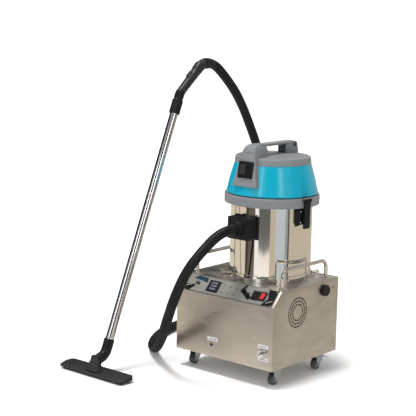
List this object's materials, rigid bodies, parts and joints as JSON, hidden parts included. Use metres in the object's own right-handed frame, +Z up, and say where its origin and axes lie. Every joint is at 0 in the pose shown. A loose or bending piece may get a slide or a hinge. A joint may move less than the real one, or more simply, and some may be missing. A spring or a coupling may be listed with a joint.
{
  "type": "wet and dry canister cleaner",
  "caption": "Wet and dry canister vacuum standing on a wheeled steel steam base box, with hose, chrome wand and wide floor tool",
  "frame": {"origin": "on the floor plane, at the middle of the footprint of the whole assembly without its hose", "axes": "+Z up, -Y towards the control panel side, +X towards the vent grille side"},
  "size_m": [0.934, 1.2932, 1.2978],
  "materials": {
    "brushed_steel": "brushed, warm grey sheet",
    "polished_steel": "mirror polished",
    "zinc_steel": "zinc plated pressing",
    "wheel_rubber": "black tread",
    "panel_silver": "satin silver overlay",
    "black_plastic": "fine moulded grain",
    "red_plastic": "translucent red",
    "lamp_lens": "dull red lens",
    "white_plastic": "natural",
    "cast_metal": "as cast",
    "grey_plastic": "fine moulded grain",
    "teal_plastic": "smooth moulded",
    "grip_plastic": "ribbed grip",
    "squeegee_rubber": "soft blade",
    "hose_plastic": "ribbed flexible hose"
  },
  "bodies": {
    "machine": {"box_shell": "brushed_steel", "base_plate": "brushed_steel", "boiler_tank": "brushed_steel", "drum_ring": "polished_steel", "drum_shell": "polished_steel", "handle_left": "polished_steel", "handle_right": "polished_steel", "steam_outlet": "polished_steel", "drain_outlet": "polished_steel", "wand_tube": "polished_steel", "control_panel": "panel_silver", "display_module": "black_plastic", "rocker_housings": "black_plastic", "fan_frame": "black_plastic", "inlet_block": "black_plastic", "latch_brackets": "black_plastic", "nozzle_elbow": "black_plastic", "wand_cuff": "black_plastic", "indicator_lamps": "lamp_lens", "water_tank": "white_plastic", "pump": "cast_metal", "handle_grip": "grip_plastic", "hose": "hose_plastic"},
    "swivel_front_left": {"fork_front_left": "zinc_steel"},
    "roll_front_left": {"wheel_front_left": "wheel_rubber"},
    "swivel_front_right": {"fork_front_right": "zinc_steel"},
    "roll_front_right": {"wheel_front_right": "wheel_rubber"},
    "swivel_rear_left": {"fork_rear_left": "zinc_steel"},
    "roll_rear_left": {"wheel_rear_left": "wheel_rubber"},
    "swivel_rear_right": {"fork_rear_right": "zinc_steel"},
    "roll_rear_right": {"wheel_rear_right": "wheel_rubber"},
    "pedal_left": {"brake_left": "zinc_steel"},
    "pedal_right": {"brake_right": "zinc_steel"},
    "vacuum_head": {"head_collar": "grey_plastic", "motor_cover": "teal_plastic", "top_cap": "grey_plastic", "carry_handle": "grey_plastic", "switch_plate": "black_plastic", "motor": "cast_metal", "float_cage": "black_plastic"},
    "power_key": {"head_rocker": "black_plastic"},
    "clip_left": {"latch_left": "black_plastic"},
    "clip_right": {"latch_right": "black_plastic"},
    "blower": {"impeller": "cast_metal"},
    "cooling_fan": {"fan_rotor": "black_plastic"},
    "dark_key": {"rocker_dark": "black_plastic"},
    "red_key": {"rocker_red": "red_plastic"},
    "push_upper": {"button_upper": "black_plastic"},
    "push_lower": {"button_lower": "black_plastic"},
    "clamp_1": {"thumb_screw_1": "polished_steel"},
    "clamp_2": {"thumb_screw_2": "polished_steel"},
    "clamp_3": {"thumb_screw_3": "polished_steel"},
    "clamp_4": {"thumb_screw_4": "polished_steel"},
    "tank_cap": {"filler_cap": "black_plastic"},
    "steam_sleeve": {"steam_collar": "polished_steel"},
    "hose_lock": {"lock_ring": "black_plastic"},
    "air_gate": {"air_slider": "grip_plastic"},
    "floor_tool": {"nozzle_head": "black_plastic", "squeegee_strips": "squeegee_rubber"}
  },
  "joints": [
    {"name": "swivel_turn_front_left", "type": "hinge", "parent": "machine", "child": "swivel_front_left", "pos_m": [-0.0605, 0.0365, 0.07], "axis": [0, 0, 1], "continuous": true},
    {"name": "wheel_roll_front_left", "type": "hinge", "parent": "swivel_front_left", "child": "roll_front_left", "pos_m": [-0.0605, 0.0225, 0.025], "axis": [1, 0, 0], "continuous": true},
    {"name": "swivel_turn_front_right", "type": "hinge", "parent": "machine", "child": "swivel_front_right", "pos_m": [0.3655, 0.0365, 0.07], "axis": [0, 0, 1], "continuous": true},
    {"name": "wheel_roll_front_right", "type": "hinge", "parent": "swivel_front_right", "child": "roll_front_right", "pos_m": [0.3655, 0.0225, 0.025], "axis": [1, 0, 0], "continuous": true},
    {"name": "swivel_turn_rear_left", "type": "hinge", "parent": "machine", "child": "swivel_rear_left", "pos_m": [-0.0605, 0.3365, 0.07], "axis": [0, 0, 1], "continuous": true},
    {"name": "wheel_roll_rear_left", "type": "hinge", "parent": "swivel_rear_left", "child": "roll_rear_left", "pos_m": [-0.0605, 0.3225, 0.025], "axis": [1, 0, 0], "continuous": true},
    {"name": "swivel_turn_rear_right", "type": "hinge", "parent": "machine", "child": "swivel_rear_right", "pos_m": [0.3655, 0.3365, 0.07], "axis": [0, 0, 1], "continuous": true},
    {"name": "wheel_roll_rear_right", "type": "hinge", "parent": "swivel_rear_right", "child": "roll_rear_right", "pos_m": [0.3655, 0.3225, 0.025], "axis": [1, 0, 0], "continuous": true},
    {"name": "brake_press_left", "type": "hinge", "parent": "swivel_rear_left", "child": "pedal_left", "pos_m": [-0.0605, 0.3525, 0.054], "axis": [1, 0, 0], "range_deg": [-14, 8]},
    {"name": "brake_press_right", "type": "hinge", "parent": "swivel_rear_right", "child": "pedal_right", "pos_m": [0.3655, 0.3525, 0.054], "axis": [1, 0, 0], "range_deg": [-14, 8]},
    {"name": "head_lift", "type": "slide", "parent": "machine", "child": "vacuum_head", "axis": [0, 0, 1], "range_m": [0, 0.15]},
    {"name": "power_rock", "type": "hinge", "parent": "vacuum_head", "child": "power_key", "pos_m": [0.1595, 0.04856, 0.86662], "axis": [1, 0, 0], "range_deg": [-6, 6]},
    {"name": "latch_swing_right", "type": "hinge", "parent": "vacuum_head", "child": "clip_right", "pos_m": [0.37949, 0.20269, 0.748], "axis": [-0.1392, -0.9903, 0], "range_deg": [0, 75]},
    {"name": "latch_swing_left", "type": "hinge", "parent": "vacuum_head", "child": "clip_left", "pos_m": [-0.03049, 0.26031, 0.748], "axis": [0.1392, 0.9903, 0], "range_deg": [0, 75]},
    {"name": "blower_spin", "type": "hinge", "parent": "vacuum_head", "child": "blower", "pos_m": [0.1745, 0.2315, 0.77], "axis": [0, 0, 1], "continuous": true},
    {"name": "fan_spin", "type": "hinge", "parent": "machine", "child": "cooling_fan", "pos_m": [0.395, 0.1195, 0.295], "axis": [1, 0, 0], "continuous": true},
    {"name": "dark_rock", "type": "hinge", "parent": "machine", "child": "dark_key", "pos_m": [0.2985, -0.02121, 0.37162], "axis": [1, 0, 0], "range_deg": [-6, 6]},
    {"name": "red_rock", "type": "hinge", "parent": "machine", "child": "red_key", "pos_m": [0.3345, -0.01983, 0.37307], "axis": [1, 0, 0], "range_deg": [-6, 6]},
    {"name": "press_upper", "type": "slide", "parent": "machine", "child": "push_upper", "axis": [0, 0.725, -0.6887], "range_m": [0, 0.003], "stiffness_N_per_m": 400},
    {"name": "press_lower", "type": "slide", "parent": "machine", "child": "push_lower", "axis": [0, 0.725, -0.6887], "range_m": [0, 0.003], "stiffness_N_per_m": 400},
    {"name": "clamp_turn_1", "type": "hinge", "parent": "machine", "child": "clamp_1", "pos_m": [0.31239, 0.36939, 0.4125], "axis": [0.7071, 0.7071, 0], "continuous": true},
    {"name": "clamp_turn_2", "type": "hinge", "parent": "machine", "child": "clamp_2", "pos_m": [0.03661, 0.36939, 0.4125], "axis": [-0.7071, 0.7071, 0], "continuous": true},
    {"name": "clamp_turn_3", "type": "hinge", "parent": "machine", "child": "clamp_3", "pos_m": [0.03661, 0.09361, 0.4125], "axis": [-0.7071, -0.7071, 0], "continuous": true},
    {"name": "clamp_turn_4", "type": "hinge", "parent": "machine", "child": "clamp_4", "pos_m": [0.31239, 0.09361, 0.4125], "axis": [0.7071, -0.7071, 0], "continuous": true},
    {"name": "cap_turn", "type": "hinge", "parent": "machine", "child": "tank_cap", "pos_m": [0.41, 0.3055, 0.357], "axis": [1, 0, 0], "continuous": true},
    {"name": "steam_sleeve_slide", "type": "slide", "parent": "machine", "child": "steam_sleeve", "axis": [0, 1, 0], "range_m": [0, 0.003], "stiffness_N_per_m": 900},
    {"name": "hose_lock_turn", "type": "hinge", "parent": "machine", "child": "hose_lock", "pos_m": [0.1745, -0.0065, 0.627], "axis": [0, 1, 0], "range_deg": [-35, 0]},
    {"name": "air_gate_slide", "type": "slide", "parent": "machine", "child": "air_gate", "axis": [0, 0.7547, 0.6561], "range_m": [-0.009, 0.009]},
    {"name": "floor_tool_swivel", "type": "hinge", "parent": "machine", "child": "floor_tool", "pos_m": [-0.2425, -0.40526, 0.05695], "axis": [0, 0.9537, 0.3007], "range_deg": [-40, 40]}
  ]
}
